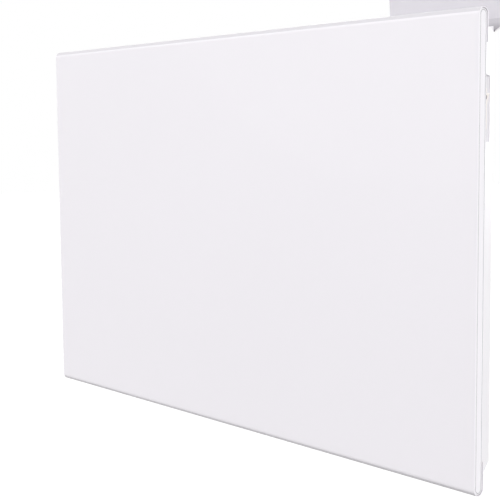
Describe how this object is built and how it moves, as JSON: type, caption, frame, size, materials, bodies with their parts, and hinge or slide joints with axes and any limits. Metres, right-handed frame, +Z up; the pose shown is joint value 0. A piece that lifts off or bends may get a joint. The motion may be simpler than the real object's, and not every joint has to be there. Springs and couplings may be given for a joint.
{
  "type": "convector panel heater",
  "caption": "Slim wall-hung convector heater with a flat steel front panel, sloping outlet grille, hinged flap over push keys and display, and a rocker switch in the side.",
  "frame": {"origin": "centre of the wall bracket's back face, on the wall", "axes": "+X to the right of someone facing the heater, +Y into the wall, +Z up"},
  "size_m": [0.64, 0.087, 0.4463],
  "materials": {
    "panel_paint": "smooth satin powder coat",
    "casing_paint": "fine satin powder coat",
    "white_moulding": "fine moulded texture",
    "fascia_moulding": "silver grey, fine texture",
    "key_moulding": "smooth satin",
    "rocker_moulding": "warm white, semi-gloss",
    "smoked_lens": "smoked, polished",
    "clear_guide": "tinted light guide",
    "dark_plastic": "black, moulded",
    "circuit_board": "green lacquer",
    "zinc_steel": "zinc plated",
    "bare_aluminium": "extruded",
    "silicone": "matt silicone"
  },
  "bodies": {
    "wall_bracket": {"wall_bracket": "zinc_steel"},
    "heater": {"front_panel": "panel_paint", "panel_end_cap_left": "white_moulding", "panel_end_cap_right": "white_moulding", "rear_casing": "casing_paint", "outlet_grille": "casing_paint", "left_side_cover": "white_moulding", "right_side_cover": "white_moulding", "heat_shield": "zinc_steel", "side_screw_left": "zinc_steel", "side_screw_right": "zinc_steel", "wall_spacer_left": "white_moulding", "wall_spacer_right": "white_moulding", "end_baffle_left": "zinc_steel", "end_baffle_right": "zinc_steel", "element_bush_left": "silicone", "element_bush_right": "silicone", "heating_element": "bare_aluminium", "thermal_cutout": "zinc_steel", "sensor_holder": "white_moulding", "room_sensor": "dark_plastic", "terminal_block": "white_moulding", "cable_gland": "dark_plastic", "control_housing": "white_moulding", "power_board": "circuit_board", "control_fascia": "fascia_moulding", "display_window": "smoked_lens", "display_module": "dark_plastic", "light_guide": "clear_guide", "control_board": "circuit_board", "hinge_pin_far": "zinc_steel", "hinge_pin_near": "zinc_steel", "switch_body": "rocker_moulding"},
    "control_flap": {"control_flap": "white_moulding"},
    "key_power": {"key_power": "key_moulding"},
    "key_minus": {"key_minus": "key_moulding"},
    "key_plus": {"key_plus": "key_moulding"},
    "key_timer": {"key_timer": "key_moulding"},
    "key_mode": {"key_mode": "key_moulding"},
    "key_lock": {"key_lock": "key_moulding"},
    "switch_rocker": {"switch_rocker": "rocker_moulding"}
  },
  "joints": [
    {"name": "heater_lift", "type": "slide", "parent": "wall_bracket", "child": "heater", "axis": [0, 0, 1], "range_m": [0, 0.0107]},
    {"name": "control_flap", "type": "hinge", "parent": "heater", "child": "control_flap", "pos_m": [0.2148, -0.0164, 0.118], "axis": [1, 0, 0], "range_deg": [0, 86]},
    {"name": "key_power", "type": "slide", "parent": "heater", "child": "key_power", "axis": [0, 0, -1], "range_m": [0, 0.0008], "stiffness_N_per_m": 800, "springref_m": -0.0005},
    {"name": "key_minus", "type": "slide", "parent": "heater", "child": "key_minus", "axis": [0, 0, -1], "range_m": [0, 0.0008], "stiffness_N_per_m": 800, "springref_m": -0.0005},
    {"name": "key_plus", "type": "slide", "parent": "heater", "child": "key_plus", "axis": [0, 0, -1], "range_m": [0, 0.0008], "stiffness_N_per_m": 800, "springref_m": -0.0005},
    {"name": "key_timer", "type": "slide", "parent": "heater", "child": "key_timer", "axis": [0, 0, -1], "range_m": [0, 0.0008], "stiffness_N_per_m": 800, "springref_m": -0.0005},
    {"name": "key_mode", "type": "slide", "parent": "heater", "child": "key_mode", "axis": [0, 0, -1], "range_m": [0, 0.0008], "stiffness_N_per_m": 800, "springref_m": -0.0005},
    {"name": "key_lock", "type": "slide", "parent": "heater", "child": "key_lock", "axis": [0, 0, -1], "range_m": [0, 0.0008], "stiffness_N_per_m": 800, "springref_m": -0.0005},
    {"name": "switch_rocker", "type": "hinge", "parent": "heater", "child": "switch_rocker", "pos_m": [0.28772, -0.0445, 0.05], "axis": [0, -1, 0], "range_deg": [0, 20]}
  ]
}
